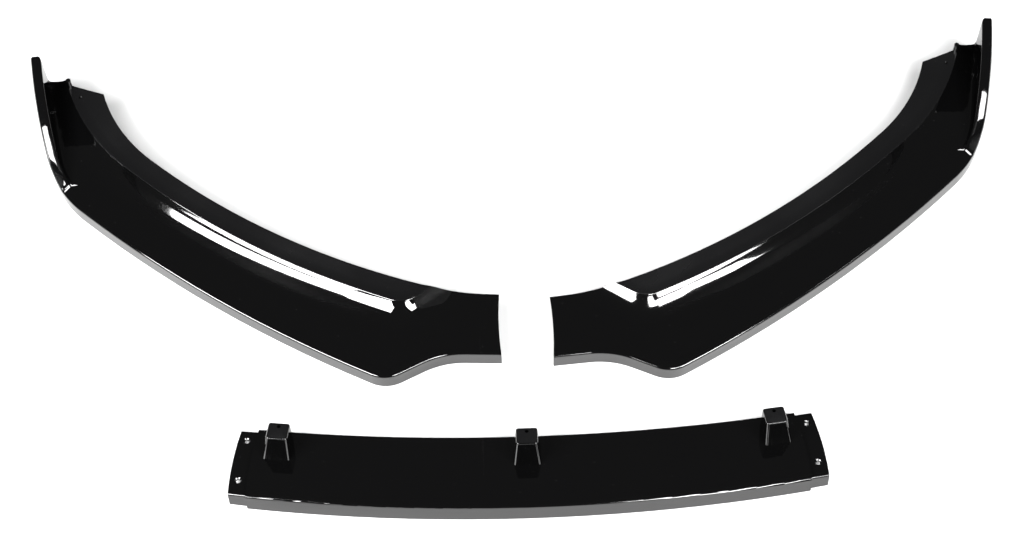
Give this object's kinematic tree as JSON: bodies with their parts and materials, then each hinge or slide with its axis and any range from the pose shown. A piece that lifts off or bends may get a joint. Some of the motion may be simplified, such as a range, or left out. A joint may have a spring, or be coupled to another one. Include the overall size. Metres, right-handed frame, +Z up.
{
  "type": "front splitter lip",
  "caption": "Gloss black front splitter lip: a bowed centre lip with hollow bosses and stepped screw tabs, and handed side lips with a swept riser and an upright end fin.",
  "frame": {"origin": "on the floor under the middle of the laid-out pieces", "axes": "+X across the car from the left lip to the right one in the picture, +Y towards the rear of the car, +Z up"},
  "size_m": [1.177, 0.6132, 0.078],
  "materials": {
    "gloss_black": "gloss moulded plastic"
  },
  "bodies": {
    "root": {"left_side_lip": "gloss_black", "right_side_lip": "gloss_black", "centre_lip": "gloss_black"}
  },
  "joints": []
}
